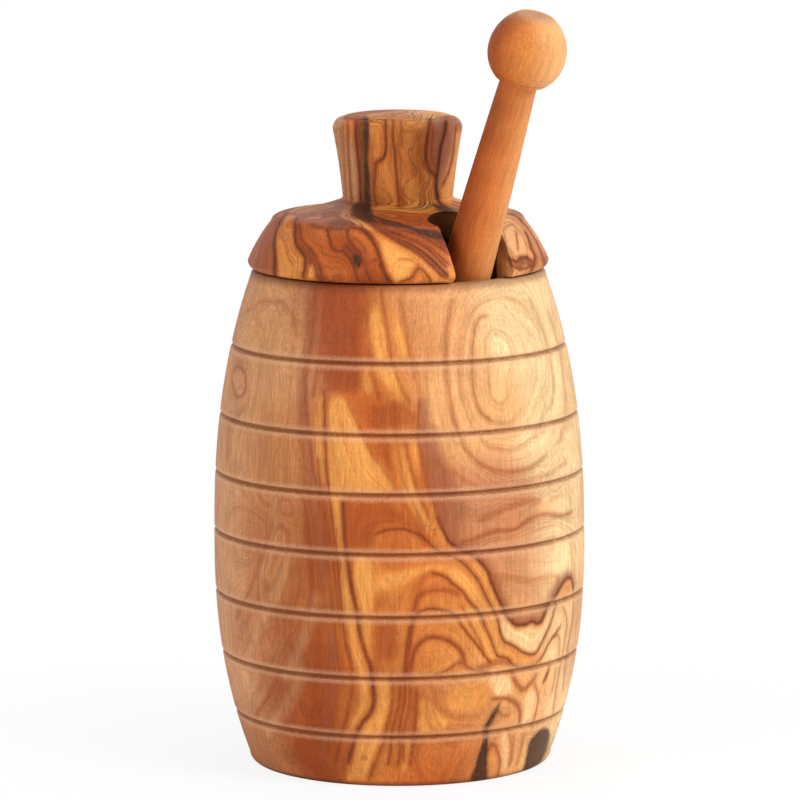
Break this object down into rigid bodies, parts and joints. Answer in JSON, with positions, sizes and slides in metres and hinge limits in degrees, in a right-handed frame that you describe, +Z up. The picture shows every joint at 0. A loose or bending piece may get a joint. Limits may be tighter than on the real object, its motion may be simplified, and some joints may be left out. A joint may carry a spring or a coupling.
{
  "type": "honey pot",
  "caption": "Turned olive wood honey pot: a grooved barrel, a lift-off knobbed lid with a slot open at its rim, and a ball-topped honey dipper that leans out of the slot.",
  "frame": {"origin": "centre of the pot's flat underside, on the surface that it stands on", "axes": "+Z up along the pot's turning axis; -Y faces the viewer of the reference view; the lid's slot and the dipper point between +X and -Y"},
  "size_m": [0.08, 0.08, 0.1647],
  "materials": {
    "pot_wood": "satin olive wood, pale tan to red brown with dark veins",
    "lid_wood": "satin olive wood, orange brown with broad dark bands",
    "dipper_wood": "satin olive wood, plain and straight grained"
  },
  "bodies": {
    "pot": {"pot": "pot_wood"},
    "dipper": {"dipper": "dipper_wood"},
    "lid": {"lid": "lid_wood"}
  },
  "joints": [
    {"name": "dipper_lift", "type": "slide", "parent": "pot", "child": "dipper", "axis": [0, 0, 1], "range_m": [0, 0.13]},
    {"name": "lid_lift", "type": "slide", "parent": "dipper", "child": "lid", "axis": [0, 0, 1], "range_m": [0, 0.1]}
  ]
}
